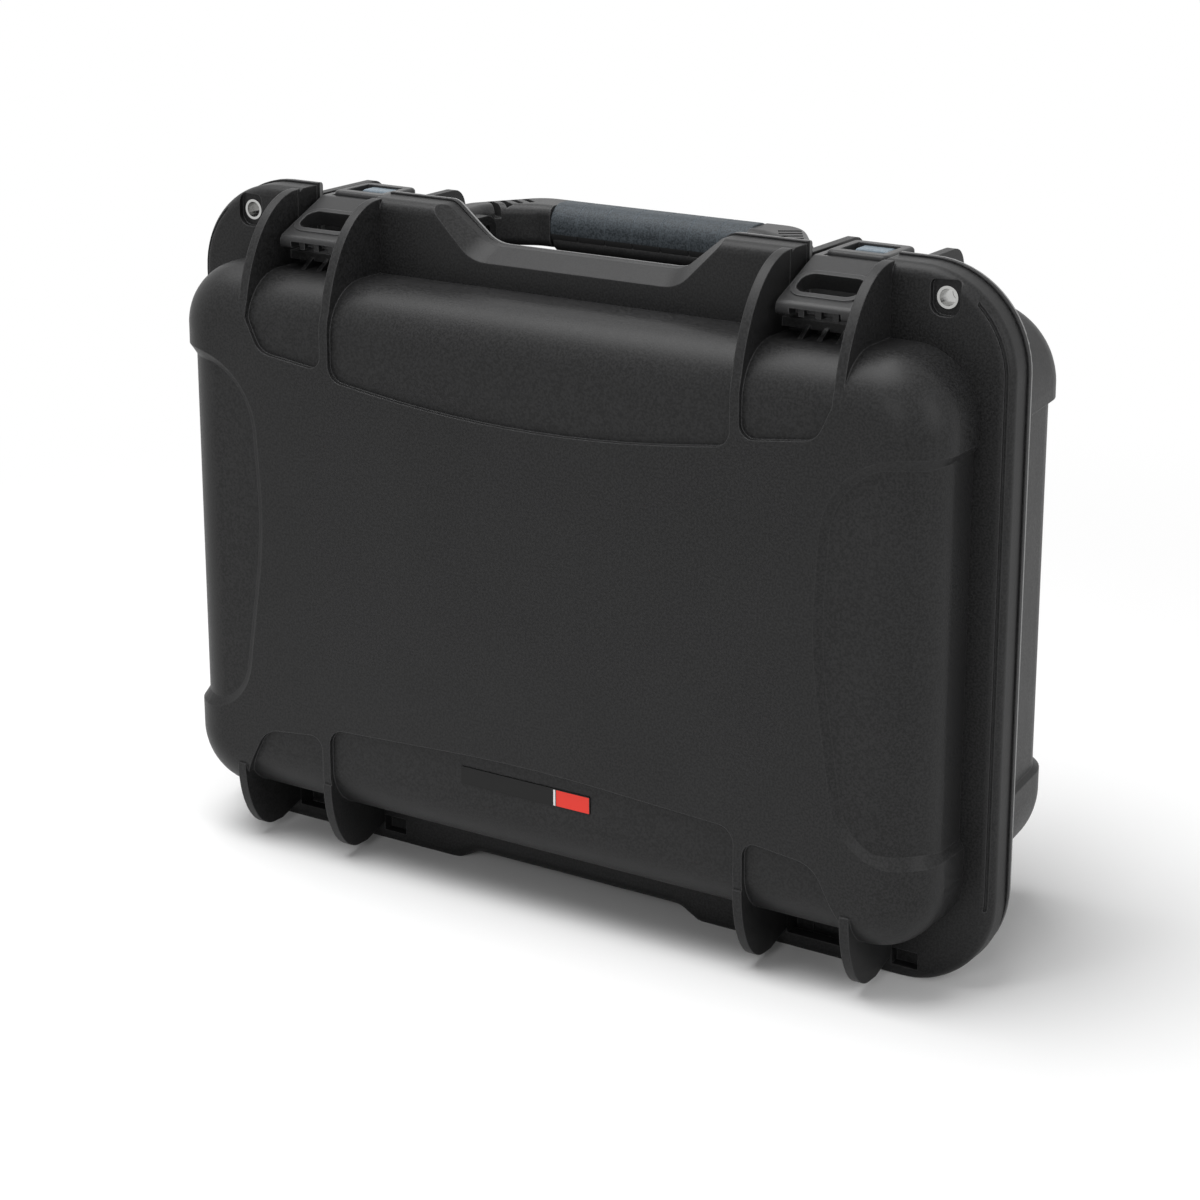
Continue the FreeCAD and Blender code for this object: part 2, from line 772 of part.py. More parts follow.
def latch_span(side):
    half = bay_width / 2 - latch_side_gap
    return side * bay_centre - half, side * bay_centre + half


def latch_window(side, width, length, radius, low, high):
    """Rounded prism that stands square on the latch's sloped front, from low to high."""
    foot = latch_place(*latch_top_shares[1][:2])
    head = latch_place(*latch_top_shares[2][:2])
    slope = math.degrees(math.atan2(head[1] - foot[1], head[0] - foot[0]))
    points = [(-width / 2, -length / 2, radius), (width / 2, -length / 2, radius),
              (width / 2, length / 2, radius), (-width / 2, length / 2, radius)]
    solid = upright(points, low, high)
    solid.rotate(Vec(0, 0, 0), Vec(1, 0, 0), slope)
    share = latch_window_share
    solid.translate(Vec(side * bay_centre, foot[0] + share * (head[0] - foot[0]),
                        foot[1] + share * (head[1] - foot[1])))
    return solid


def lock_floor_height():
    """Height of the floor that the slide lock runs on."""
    return latch_nose_height + latch_height + lock_stand - lock_thickness


def lock_box(side, gap, travel, low, high):
    """Box round the slide lock, widened all round by a gap and backwards by its travel."""
    half = lock_width / 2 + gap
    front = latch_pivot_y - lock_front_reach
    middle = side * bay_centre
    return block(middle - half, middle + half, front - gap, front + lock_length + travel + gap, low, high)


def latch_lever(side):
    left, right = latch_span(side)
    points = []
    for a, b, c in latch_top_shares + latch_under_shares:
        y, z = latch_place(a, b)
        points.append((y, z, c * latch_round))
    solid = lengthwise(points, left, right)
    barrel = rod(left, right, latch_pivot_y, latch_pivot_height, latch_barrel)
    lip = latch_window(side, latch_window_width + 2 * latch_window_rim,
                       latch_window_length + 2 * latch_window_rim,
                       latch_window_round + latch_window_rim, -overrun, latch_window_lip)
    solid = solid.fuse([barrel, lip])
    middle = side * bay_centre
    nose_y, nose_z = latch_place(*latch_top_shares[0][:2])
    notch = block(middle - latch_notch_width / 2, middle + latch_notch_width / 2,
                  nose_y - overrun - latch_round, nose_y + latch_notch_depth,
                  nose_z - overrun, nose_z + latch_notch_height)
    window = latch_window(side, latch_window_width, latch_window_length, latch_window_round,
                          -latch_height, latch_height)
    slot = lock_box(side, lock_clearance, lock_travel, lock_floor_height() - lock_clearance, rim_top)
    bore = rod(left, right, latch_pivot_y, latch_pivot_height, latch_pin_radius + running_clearance)
    solid = solid.cut([notch, window, slot, bore])
    teeth = []
    for place in (-1, 0, 1):
        spot = middle + place * latch_tooth_pitch
        teeth.append(block(spot - latch_tooth / 2, spot + latch_tooth / 2, nose_y + latch_notch_depth / 2,
                           nose_y + latch_notch_depth + overrun, nose_z - latch_tooth_drop,
                           nose_z + latch_notch_height + overrun))
    return solid.fuse(teeth).removeSplitter()


def lock_slide(side):
    """Framed slide with a sunk floor that carries the button."""
    low = lock_floor_height()
    high = low + lock_thickness
    solid = lock_box(side, 0, 0, low, high)
    upright_edges = [e for e in solid.Edges if e.BoundBox.ZMax - e.BoundBox.ZMin > lock_thickness / 2]
    solid = solid.makeFillet(lock_corner, upright_edges)
    top = [e for e in solid.Edges if e.BoundBox.ZMin > high - Part.Precision.confusion()]
    solid = solid.makeFillet(lock_round, top)
    middle = side * bay_centre
    front = latch_pivot_y - lock_front_reach
    half = lock_width / 2 - lock_side_bar
    return solid.cut(block(middle - half, middle + half, front + lock_bar, front + lock_length - lock_bar,
                           low + lock_floor, high + overrun))


def lock_button(side):
    """Pale button that stands on the slide's floor against its rear bar."""
    low = lock_floor_height() + lock_floor
    back = latch_pivot_y - lock_front_reach + lock_length - lock_bar
    middle = side * bay_centre
    solid = block(middle - button_width / 2, middle + button_width / 2, back - button_length, back,
                  low, low + button_height)
    top = [e for e in solid.Edges if e.BoundBox.ZMin > low + button_height - Part.Precision.confusion()]
    return solid.makeFillet(button_round, top)


def arm_outline(side):
    """Plan of one handle arm, from its pivot out and back to the end of the grip."""
    start, end = handle_spans()[1]
    grip_end = grip_length / 2
    grip_y = handle_pivot_y + handle_reach
    points = [
        (start, handle_pivot_y - arm_nose, arm_nose_round),
        (end, handle_pivot_y - arm_nose, arm_nose_round),
        (end, handle_pivot_y + arm_bend, arm_bend_round),
        (grip_end + arm_shoulder, grip_y + grip_depth / 2, arm_shoulder_round),
        (grip_end, grip_y + grip_depth / 2, 0),
        (grip_end, grip_y - grip_depth / 2, 0),
        (grip_end + arm_throat, grip_y - grip_depth / 2, arm_throat_round),
        (start, handle_pivot_y + arm_crook, arm_throat_round),
    ]
    return [(side * x, y, radius) for x, y, radius in points]


def handle_arm(side):
    low = handle_pivot_height - handle_thickness / 2
    high = handle_pivot_height + handle_thickness / 2
    solid = upright(arm_outline(side), low, high)
    grip_end = grip_length / 2
    close = Part.Precision.confusion()
    brims = []
    for edge in solid.Edges:
        box = edge.BoundBox
        level = box.ZMax - box.ZMin < close
        at_grip = max(abs(box.XMin), abs(box.XMax)) < grip_end + close
        if level and not at_grip:
            brims.append(edge)
    solid = solid.makeFillet(handle_round, brims)
    slots = []
    start, end = handle_spans()[1]
    middle = (start + end) / 2
    for i in range(arm_slots):
        slot = block(-arm_slot_length / 2, arm_slot_length / 2, 0, arm_slot_width,
                     0, arm_slot_depth + overrun)
        slot.translate(Vec(0, arm_slot_start - handle_reach / 2 + i * arm_slot_pitch, 0))
        slot.rotate(Vec(0, 0, 0), Vec(0, 0, 1), arm_slot_turn)
        slot.translate(Vec(middle - arm_throat, handle_pivot_y + handle_reach / 2, high - arm_slot_depth))
        slots.append(slot if side > 0 else slot.mirror(Vec(0, 0, 0), Vec(1, 0, 0)))
    return solid.cut(slots)


def handle_frame():
    """Two arms joined by the bar that the grip is moulded on."""
    grip_y = handle_pivot_y + handle_reach
    half = grip_length / 2 + overrun
    bar = rod(-half, half, grip_y, handle_pivot_height, grip_core_radius)
    solid = bar.fuse([handle_arm(side) for side in (-1, 1)])
    bores = pin_bores(handle_spans()[1:2], handle_pivot_y, handle_pivot_height,
                      handle_pin_radius + running_clearance)
    return solid.cut(bores).removeSplitter()


def handle_grip():
    """Soft sleeve in soft-edged bands along the handle's bar."""
    grip_y = handle_pivot_y + handle_reach
    band = grip_length / grip_bands
    low = handle_pivot_height - grip_height / 2
    high = handle_pivot_height + grip_height / 2
    points = [(grip_y - grip_depth / 2, low, grip_round), (grip_y + grip_depth / 2, low, grip_round),
              (grip_y + grip_depth / 2, high, grip_round), (grip_y - grip_depth / 2, high, grip_round)]
    bands = []
    for i in range(grip_bands):
        left = -grip_length / 2 + i * band
        solid = lengthwise(points, left, left + band)
        close = Part.Precision.confusion()
        rings = [e for e in solid.Edges if e.BoundBox.XMax - e.BoundBox.XMin < close]
        bands.append(solid.makeFillet(grip_band_round, rings))
    sleeve = bands[0].fuse(bands[1:])
    return sleeve.cut(rod(-grip_length / 2, grip_length / 2, grip_y, handle_pivot_height,
                          grip_core_radius + grip_core_clearance))


def valve_pieces():
    """Pressure valve through the base's top wall: washer, body, membrane, cap and nut."""
    seat = core_top
    flange_low = seat + valve_washer
    flange_high = flange_low + valve_flange
    washer = post(0, valve_y, seat, flange_low, valve_washer_radius)
    washer = washer.cut(post(0, valve_y, seat, flange_low, valve_stem_radius + valve_clearance))
    body = post(0, valve_y, flange_low, flange_high, valve_flange_radius)
    body = body.fuse(post(0, valve_y, flange_low - valve_stem, flange_high, valve_stem_radius))
    body = body.cut(post(0, valve_y, flange_low - valve_stem, flange_high, valve_bore_radius))
    membrane_low = flange_high - valve_membrane - valve_clearance
    body = body.cut(post(0, valve_y, membrane_low, flange_high, valve_membrane_radius + valve_clearance))
    membrane = post(0, valve_y, membrane_low, membrane_low + valve_membrane, valve_membrane_radius)
    cap = post(0, valve_y, flange_high, flange_high + valve_cap, valve_cap_radius)
    slots = []
    for i in range(valve_cap_slots):
        slot = block(valve_membrane_radius, valve_cap_radius + overrun, -valve_cap_slot / 2,
                     valve_cap_slot / 2, flange_high, flange_high + valve_cap / 2)
        slot.rotate(Vec(0, 0, 0), Vec(0, 0, 1), i * 360 / valve_cap_slots)
        slot.translate(Vec(0, valve_y, 0))
        slots.append(slot)
    cap = cap.cut(slots)
    corner = valve_nut_across / math.sqrt(3)
    turns = [i * math.pi / 3 for i in range(6)]
    hexagon = [(corner * math.cos(turn), valve_y + corner * math.sin(turn), 0) for turn in turns]
    nut = upright(hexagon, cavity_top - valve_nut, cavity_top)
    nut = nut.cut(post(0, valve_y, cavity_top - valve_nut, cavity_top, valve_stem_radius + valve_clearance))
    return {"valve_washer": washer, "valve_body": body.removeSplitter(), "valve_membrane": membrane,
            "valve_cap": cap, "valve_nut": nut}


def plate_pieces():
    """Bare plate with a pale line and a plain field let into its face."""
    sunk_face = lid_face_y + recess_depth
    front = sunk_face + plate_sink - plate_thickness
    plate = across(plate_points(0), front, front + plate_thickness)
    low = body_bottom + plate_rise + inlay_margin
    high = body_bottom + plate_rise + plate_height - inlay_margin
    field_end = plate_width / 2 - inlay_margin
    field_start = field_end - field_width
    line_start = field_start - line_width - inlay_margin
    spans = {"plate_field": (field_start, field_end), "plate_line": (line_start, line_start + line_width)}
    found = {}
    gap = inlay_clearance
    for name, (start, end) in spans.items():
        found[name] = block(start, end, front, front + inlay_thickness, low, high)
        plate = plate.cut(block(start - gap, end + gap, front - overrun, front + inlay_thickness,
                                low - gap, high + gap))
    found["name_plate"] = plate
    return found


def parted(solid, y):
    """A moulding's material in front of a plane and behind it."""
    half = rim_half + overrun
    low = rim_bottom - overrun
    high = rim_top + overrun
    sides = ((lid_face_y - overrun, y), (y, back_y + skid + overrun))
    return [solid.common(block(-half, half, near, far, low, high)).removeSplitter() for near, far in sides]


def pieces():
    """Every piece of the case under its own name, each moulding as its tub and its rim."""
    found = {}
    found["lid_shell"], found["lid_rim"] = parted(lid_shell(), lid_rim_y)
    found["base_rim"], found["base_shell"] = parted(base_shell(), parting_y + barrel_radius)
    found["lid_seal"] = seal_ring(seal_inset + seal_clearance, seal_inset + seal_width - seal_clearance,
                                  parting_y - seal_sink - seal_thickness, parting_y - seal_sink)
    hinge_start = hinge_spans()[0][0] + hinge_pin_inset
    hinge_end = hinge_spans()[2][1] - hinge_pin_inset
    ear_start = handle_spans()[0][0] + handle_pin_inset
    ear_end = handle_spans()[2][1] - handle_pin_inset
    fin_start = bay_inner - rib + latch_pin_inset
    fin_end = bay_outer + rib - latch_pin_inset
    for side, hand, (x, z) in zip((-1, 1), ("left", "right"), eyelet_places()):
        found["lid_eyelet_" + hand] = eyelet(x, z, lid_rim_y + eyelet_recess_depth - eyelet_lip,
                                             parting_y - parting_gap / 2, -1)
        found["base_eyelet_" + hand] = eyelet(x, z, parting_y + parting_gap / 2, base_rim_y + eyelet_lip, 1)
        found["hinge_pin_" + hand] = rod(side * hinge_start, side * hinge_end, parting_y, hinge_height,
                                         hinge_pin_radius)
        found["handle_pin_" + hand] = rod(side * ear_start, side * ear_end, handle_pivot_y,
                                          handle_pivot_height, handle_pin_radius)
        found["latch_pin_" + hand] = rod(side * fin_start, side * fin_end, latch_pivot_y,
                                         latch_pivot_height, latch_pin_radius)
        found["latch_lever_" + hand] = latch_lever(side)
        found["lock_slide_" + hand] = lock_slide(side)
        found["lock_button_" + hand] = lock_button(side)
    found["handle_frame"] = handle_frame()
    found["handle_grip"] = handle_grip()
    found.update(valve_pieces())
    found.update(plate_pieces())
    return found


os.makedirs("parts", exist_ok=True)
for name, shape in pieces().items():
    shape.exportStep("parts/" + name + ".step")
    print(name, len(shape.Solids), round(shape.Volume), shape.isValid())
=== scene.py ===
import math
from typing import NamedTuple

import bpy
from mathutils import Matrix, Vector


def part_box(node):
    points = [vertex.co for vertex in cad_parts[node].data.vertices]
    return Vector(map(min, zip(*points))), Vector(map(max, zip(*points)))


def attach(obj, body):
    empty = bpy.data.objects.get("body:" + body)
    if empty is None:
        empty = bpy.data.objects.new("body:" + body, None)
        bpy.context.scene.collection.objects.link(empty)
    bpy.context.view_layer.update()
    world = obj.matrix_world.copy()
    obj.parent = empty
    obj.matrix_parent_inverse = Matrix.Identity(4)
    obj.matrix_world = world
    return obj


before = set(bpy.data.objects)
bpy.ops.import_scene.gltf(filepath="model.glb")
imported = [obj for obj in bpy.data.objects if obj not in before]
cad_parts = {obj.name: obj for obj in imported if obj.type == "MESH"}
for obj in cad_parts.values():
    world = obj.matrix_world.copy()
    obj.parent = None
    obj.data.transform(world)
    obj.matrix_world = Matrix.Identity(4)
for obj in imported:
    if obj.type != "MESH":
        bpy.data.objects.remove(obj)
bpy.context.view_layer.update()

bl_info = {
    "name": "Hard case",
    "version": (1, 0, 0),
    "blender": (4, 5, 0),
    "location": "3D View > Sidebar > Hard case",
    "description": "Finishes, light and camera for a moulded hard case with latches and a folding handle",
    "category": "Object",
}

MM = 0.001
SIDES = ("left", "right")

# Sockets of a Mix node that mixes colours
MIX_SHARE = 0
MIX_FIRST = 6
MIX_SECOND = 7
MIX_RESULT = 2

# The middle of a noise, and the rays that softened edges are worked out with
NOISE_MIDDLE = 0.5
EDGE_SAMPLES = 6

# Moulded plastic: speckle and clouding of its tone, scuffs in its gloss, and edges smoothed by wear and
# painted lighter, partly for wear and partly as a painted highlight
SHELL_ROUGHNESS = 0.44
CLOUD_SIZE = 60 * MM
SCUFF_SIZE = 9 * MM
SCUFF_STRETCH = (1.0, 1.0, 0.35)
SCUFF_ROUGHNESS = 0.08
SPECK_STOPS = ((0.4, 0.0), (0.6, 1.0))
SPECK_SHARE = 0.7
SPECK_CONTRAST = 0.5
SPECK_ROUGHNESS = 0.1
EDGE_WEAR_AND_HIGHLIGHT_STOPS = ((0.0, 0.0), (0.16, 1.0))
RUBBED_AND_HIGHLIGHT_SHARE = 0.7
# Lighter edge colour: partly wear, partly a painted highlight where edges catch the light
RUBBED_AND_HIGHLIGHT_LIGHTER = 4.0
RUBBED_SMOOTHER = 0.08
GRAIN_STRENGTH = 0.8
PLASTIC_SHINE = 0.18

# How far the rim's lip, which carries a painted highlight, stops short of the rim's back, and how softly
# the lip and the grip's pad end
LIP_SETBACK = 0.9 * MM
LIP_FADE = 0.2 * MM
PAD_FADE = 0.15 * MM

# Dark bar below the grip: shares of the grip's length and width, and its rounded edges
DARK_BAR_LENGTH_SHARE = 0.985
DARK_BAR_WIDTH_SHARE = 0.93
DARK_BAR_SIDES = 64
DARK_BAR_EDGE = 1.2 * MM
DARK_BAR_EDGE_STEPS = 3
DARK_BAR_EDGE_ANGLE = math.radians(40)
DARK_BAR_SMOOTH_ANGLE = math.radians(35)

# Turned steel
TURNED_LINE_SIZE = 0.35 * MM
TURNED_LINE_STRETCH = (0.2, 1.0, 0.2)
TURNED_LINE_HEIGHT = 0.01 * MM
TURNED_LINE_STRENGTH = 0.3
TURNED_LINE_ROUGHNESS = 0.12
TOUCH_SIZE = 4 * MM
TOUCH_DARKER = 0.86
TOUCH_ROUGHNESS = 0.1
PIN_DARKER = 0.8

# Printed faces of the plate
PEEL_SIZE = 1.6 * MM
PEEL_HEIGHT = 0.01 * MM
PEEL_STRENGTH = 0.4
HAZE_SIZE = 14 * MM
HAZE_DARKER = 0.92
HAZE_ROUGHNESS = 0.1
PRINT_SHINE = 0.2

# Studio
WHITE = (1, 1, 1)
WHITE_STRENGTH = 1.0
WHITE_RAYS = ("Is Camera Ray", "Is Glossy Ray", "Is Transmission Ray")
FIBRE_SIZE = 2 * MM
FIBRE_DARKER = 0.985
PAPER_ROUGHNESS = 0.9
SHADOW_START_SHARE = 0.1
SENSOR_WIDTH = 36


class Lamp(NamedTuple):
    """A soft box: its place, its aim, its width and depth, and the setting that holds its power."""

    name: str
    place: tuple
    aim: tuple
    size: tuple
    power: str


LAMPS = (
    Lamp("top_box", (-0.4, -0.3, 1.95), (0, 0, 0.2), (1.7, 1.4), "top_power"),
    Lamp("front_box", (0.5, -2.3, 1.1), (0, 0, 0.15), (0.8, 0.8), "front_power"),
    Lamp("side_box", (1.9, -0.3, 0.9), (0.2, 0, 0.18), (0.7, 1.4), "side_power"),
)


class HardCaseFinish(bpy.types.PropertyGroup):
    """Colours and surface sizes of the case."""

    shell_colour: bpy.props.FloatVectorProperty(
        name="Shell", description="Charcoal of the moulded lid and base", subtype="COLOR",
        size=3, min=0, max=1, default=(0.0148, 0.0148, 0.0151))
    # Painted highlight: the pale lip band stands for light caught by the back edge of the base's rim
    lip_highlight_colour: bpy.props.FloatVectorProperty(
        name="Rim lip highlight", description="Painted highlight on the lip at the back of the base's rim", subtype="COLOR",
        size=3, min=0, max=1, default=(0.24, 0.24, 0.24))
    latch_colour: bpy.props.FloatVectorProperty(
        name="Latches", description="Smoother black of the latches, slides, handle arms and valve",
        subtype="COLOR", size=3, min=0, max=1, default=(0.029, 0.029, 0.0295))
    grip_colour: bpy.props.FloatVectorProperty(
        name="Grip", description="Blue grey of the soft grip", subtype="COLOR",
        size=3, min=0, max=1, default=(0.045, 0.053, 0.06))
    button_colour: bpy.props.FloatVectorProperty(
        name="Buttons", description="Pale blue grey of the lock buttons", subtype="COLOR",
        size=3, min=0, max=1, default=(0.15, 0.185, 0.215))
    steel_colour: bpy.props.FloatVectorProperty(
        name="Steel", description="Eyelets and pins", subtype="COLOR",
        size=3, min=0, max=1, default=(0.5, 0.5, 0.49))
    rubber_colour: bpy.props.FloatVectorProperty(
        name="Rubber", description="Rim seal and valve washer", subtype="COLOR",
        size=3, min=0, max=1, default=(0.015, 0.015, 0.015))
    film_colour: bpy.props.FloatVectorProperty(
        name="Film", description="Breathing film in the valve", subtype="COLOR",
        size=3, min=0, max=1, default=(0.7, 0.7, 0.68))
    plate_colour: bpy.props.FloatVectorProperty(
        name="Plate", description="Bare plate on the lid", subtype="COLOR",
        size=3, min=0, max=1, default=(0.006, 0.006, 0.006))
    line_colour: bpy.props.FloatVectorProperty(
        name="Plate line", description="Pale line on the plate", subtype="COLOR",
        size=3, min=0, max=1, default=(0.75, 0.75, 0.75))
    field_colour: bpy.props.FloatVectorProperty(
        name="Plate field", description="Plain field at the plate's end", subtype="COLOR",
        size=3, min=0, max=1, default=(0.78, 0.045, 0.03))
    grain: bpy.props.FloatProperty(
        name="Grain", description="Size of one grain of the moulded texture", unit="LENGTH",
        min=0.0001, max=0.005, default=1.1 * MM)
    grain_height: bpy.props.FloatProperty(
        name="Grain height", description="Height of the moulded texture", unit="LENGTH",
        min=0, max=0.001, default=0.09 * MM)
    edge_round: bpy.props.FloatProperty(
        name="Edge softness", description="Radius that moulded edges catch the light with", unit="LENGTH",
        min=0, max=0.005, default=0.9 * MM)
    # Width of the band of painted highlight on the rim's lip
    lip_highlight_width: bpy.props.FloatProperty(
        name="Rim lip highlight width", description="Width of the painted highlight on the lip at the back of the base's rim",
        unit="LENGTH", min=0, max=0.01, default=2.2 * MM)
    dark_bar_drop: bpy.props.FloatProperty(
        name="Dark bar drop", description="How far the dark bar stands below the grip", unit="LENGTH",
        min=0, max=0.0035, default=2.6 * MM)
    pad_share: bpy.props.FloatProperty(
        name="Pad share", description="Share of the grip's height, from its top, that the soft pad covers",
        subtype="FACTOR", min=0, max=1, default=0.63)


class HardCaseStage(bpy.types.PropertyGroup):
    """Camera and studio round the case."""

    focal: bpy.props.FloatProperty(
        name="Focal length", description="Lens on a full frame sensor, in millimetres",
        min=10, max=300, default=85.5)
    camera_place: bpy.props.FloatVectorProperty(
        name="Camera place", description="Where the camera stands", subtype="XYZ", unit="LENGTH",
        size=3, default=(0.7558, -1.1835, 0.6082))
    camera_turn: bpy.props.FloatProperty(
        name="Camera turn", description="Turn to the left of straight ahead", subtype="ANGLE",
        default=math.radians(32.95))
    camera_dip: bpy.props.FloatProperty(
        name="Camera dip", description="Tilt below the horizon", subtype="ANGLE",
        default=math.radians(15.81))
    camera_shift: bpy.props.FloatProperty(
        name="Camera shift", description="Upright shift of the lens, as a share of the frame",
        min=-0.5, max=0.5, default=-0.1)
    floor_colour: bpy.props.FloatVectorProperty(
        name="Floor", description="Pale paper of the floor", subtype="COLOR",
        size=3, min=0, max=1, default=(0.97, 0.97, 0.97))
    floor_size: bpy.props.FloatProperty(
        name="Floor size", description="Side of the square floor", unit="LENGTH",
        min=1, max=100, default=24)
    shadow_reach: bpy.props.FloatProperty(
        name="Shadow reach", description="Where the floor has run out to plain white", unit="LENGTH",
        min=0.2, max=10, default=1.0)
    top_power: bpy.props.FloatProperty(
        name="Top light", description="Power of the large soft box overhead", min=0, default=42)
    front_power: bpy.props.FloatProperty(
        name="Front light", description="Power of the soft box at the front", min=0, default=8)
    side_power: bpy.props.FloatProperty(
        name="Side light", description="Power of the soft box at the right", min=0, default=10)
    room_strength: bpy.props.FloatProperty(
        name="Room light", description="Even light of the room", min=0, default=0.28)


class Wire:
    """A socket that can be added, subtracted and multiplied in plain expressions."""

    def __init__(self, tree, socket):
        self.tree = tree
        self.socket = socket

    def maths(self, operation, first, second):
        return self.tree.node("ShaderNodeMath", {"operation": operation}, {0: first, 1: second})

    def __add__(self, other):
        return self.maths("ADD", self, other)

    def __radd__(self, other):
        return self.maths("ADD", other, self)

    def __sub__(self, other):
        return self.maths("SUBTRACT", self, other)

    def __rsub__(self, other):
        return self.maths("SUBTRACT", other, self)

    def __mul__(self, other):
        return self.maths("MULTIPLY", self, other)

    def __rmul__(self, other):
        return self.maths("MULTIPLY", other, self)


class Tree:
    """A tree of shader nodes that is built from plain expressions."""

    def __init__(self, tree):
        self.nodes = tree.nodes
        self.links = tree.links

    def set(self, socket, value):
        """Links a socket or gives it a number, or a colour or vector that may lack its last channel."""
        if isinstance(value, Wire):
            self.links.new(value.socket, socket)
        elif isinstance(value, (int, float)):
            socket.default_value = value
        else:
            value = list(value)
            size = len(socket.default_value)
            socket.default_value = value + [1.0] * (size - len(value))

    def node(self, kind, settings=None, inputs=None, output=0):
        """Adds a node with its settings, a ramp's stops among them, and the values of its sockets."""
        made = self.nodes.new(kind)
        for key, value in (settings or {}).items():
            if key == "stops":
                for element, (position, level) in zip(made.color_ramp.elements, value):
                    element.position = position
                    element.color = (level, level, level, 1)
            else:
                setattr(made, key, value)
        for key, value in (inputs or {}).items():
            self.set(made.inputs[key], value)
        return Wire(self, made.outputs[output])


class Finish(Tree):
    """One material and the textures that make it."""

    def __init__(self, name):
        self.material = bpy.data.materials.new(name)
        self.material.use_nodes = True
        super().__init__(self.material.node_tree)
        self.shader = self.nodes["Principled BSDF"]
        self.place = self.node("ShaderNodeTexCoord", output="Object")

    def noise(self, size, detail=2.0, roughness=0.5, stretch=(1, 1, 1)):
        """Even noise whose blobs are about the given size in metres."""
        place = self.node("ShaderNodeMapping", {}, {"Vector": self.place, "Scale": stretch})
        return self.node("ShaderNodeTexNoise", {},
                         {"Vector": place, "Scale": 1 / size, "Detail": detail, "Roughness": roughness})

    def ramp(self, value, stops):
        """Turns a value into another by two stops, each a place and a level."""
        return self.node("ShaderNodeValToRGB", {"stops": stops}, {"Fac": value})

    def mix(self, share, first, second):
        """Mixes two colours."""
        return self.node("ShaderNodeMix", {"data_type": "RGBA"},
                         {MIX_SHARE: share, MIX_FIRST: first, MIX_SECOND: second}, output=MIX_RESULT)

    def surface(self, **values):
        """Sets the shader's sockets, named in small letters."""
        for name, value in values.items():
            self.set(self.shader.inputs[name.replace("_", " ").title().replace("Ior", "IOR")], value)

    def softened(self, radius):
        """Normal of the surface as if its edges were rounded."""
        return self.node("ShaderNodeBevel", {"samples": EDGE_SAMPLES}, {"Radius": radius})

    def bump(self, height, distance, strength, soften=0.0):
        """Relief of the surface, over edges that are softened by a radius."""
        inputs = {"Height": height, "Distance": distance, "Strength": strength}
        if soften:
            inputs["Normal"] = self.softened(soften)
        self.set(self.shader.inputs["Normal"], self.node("ShaderNodeBump", {}, inputs))

    def past(self, place, edge, fade):
        """Mask that rises from nought to one where a place passes an edge."""
        return self.node("ShaderNodeMapRange", {},
                         {"Value": place, "From Min": edge - fade, "From Max": edge + fade})

    def band(self, axis, start, end, fade):
        """Mask that is high between two places along one axis of the piece."""
        place = self.node("ShaderNodeSeparateXYZ", {}, {0: self.place}, output=axis)
        return self.past(place, start, fade) * (1 - self.past(place, end, fade))

    def edges(self, radius):
        """Mask that is high along outer edges, from how far a softened normal leans from the true one."""
        true = self.node("ShaderNodeNewGeometry", output="True Normal")
        facing = self.node("ShaderNodeVectorMath", {"operation": "DOT_PRODUCT"},
                           {0: self.softened(radius), 1: true}, output="Value")
        return self.ramp(1 - facing, EDGE_WEAR_AND_HIGHLIGHT_STOPS)


def scaled(colour, share):
    """The colour made darker or lighter."""
    return [channel * share for channel in colour]


def moulded(name, colour, looks, rough, grain_share=1.0, height_share=1.0, band=None, band_colour=None):
    """Moulded plastic: fine even texture, faint clouding and edges that wear a little smoother and are
    painted lighter, partly for wear and partly as a painted highlight.
    """
    made = Finish(name)
    grain = made.noise(looks.grain * grain_share, detail=3.0, roughness=0.6)
    cloud = made.noise(CLOUD_SIZE, detail=3.0)
    scuff = made.noise(SCUFF_SIZE, detail=6.0, roughness=0.7, stretch=SCUFF_STRETCH)
    rubbed_and_highlit = made.edges(looks.edge_round)
    speck = made.ramp(grain, SPECK_STOPS)
    contrast = SPECK_CONTRAST * height_share
    tone = made.mix(cloud * (1 - SPECK_SHARE) + speck * SPECK_SHARE,
                    scaled(colour, 1 - contrast), scaled(colour, 1 + contrast))
    # Edges painted lighter: partly wear, partly a painted highlight
    worn_and_highlit = made.mix(rubbed_and_highlit * RUBBED_AND_HIGHLIGHT_SHARE, tone, scaled(colour, RUBBED_AND_HIGHLIGHT_LIGHTER))
    # A band of other colour: the rim lip's painted highlight, or the grip's dark lower band
    if band:
        worn_and_highlit = made.mix(made.band(*band), worn_and_highlit, band_colour)
    speckled = (speck - NOISE_MIDDLE) * (SPECK_ROUGHNESS * height_share)
    scuffed = (scuff - NOISE_MIDDLE) * SCUFF_ROUGHNESS
    made.surface(base_color=worn_and_highlit, specular_ior_level=PLASTIC_SHINE,
                 roughness=rough + speckled + scuffed - rubbed_and_highlit * RUBBED_SMOOTHER)
    made.bump(grain, looks.grain_height * height_share, GRAIN_STRENGTH, looks.edge_round)
    return made.material


def brushed(name, colour, rough):
    """Turned steel with fine lines round it and a trace of handling."""
    made = Finish(name)
    lines = made.noise(TURNED_LINE_SIZE, stretch=TURNED_LINE_STRETCH)
    touch = made.noise(TOUCH_SIZE, detail=4.0)
    lined = (lines - NOISE_MIDDLE) * TURNED_LINE_ROUGHNESS
    touched = (touch - NOISE_MIDDLE) * TOUCH_ROUGHNESS
    made.surface(base_color=made.mix(touch, scaled(colour, TOUCH_DARKER), colour), metallic=1.0,
                 roughness=rough + lined + touched)
    made.bump(lines, TURNED_LINE_HEIGHT, TURNED_LINE_STRENGTH)
    return made.material


